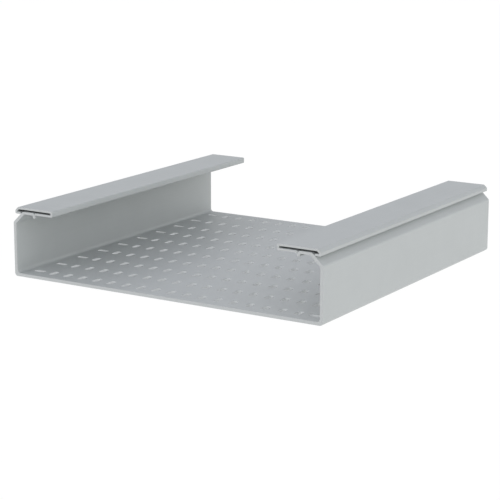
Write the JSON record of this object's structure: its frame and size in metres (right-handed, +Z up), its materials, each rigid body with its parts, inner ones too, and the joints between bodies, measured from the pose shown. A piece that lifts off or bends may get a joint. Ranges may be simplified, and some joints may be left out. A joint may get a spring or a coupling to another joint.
{
  "type": "perforated cable tray",
  "caption": "Shallow open channel with a slotted base, sloping shoulders and inward lips, and a flat C-section rail over each rim.",
  "frame": {"origin": "middle of the tray's underside", "axes": "+X across the tray towards its right wall, +Y along the tray, +Z up out of its open side"},
  "size_m": [0.5, 0.5, 0.1],
  "materials": {
    "tray_pvc": "satin",
    "rail_pvc": "satin"
  },
  "bodies": {
    "root": {"tray_channel": "tray_pvc", "left_rail": "rail_pvc", "right_rail": "rail_pvc"}
  },
  "joints": []
}
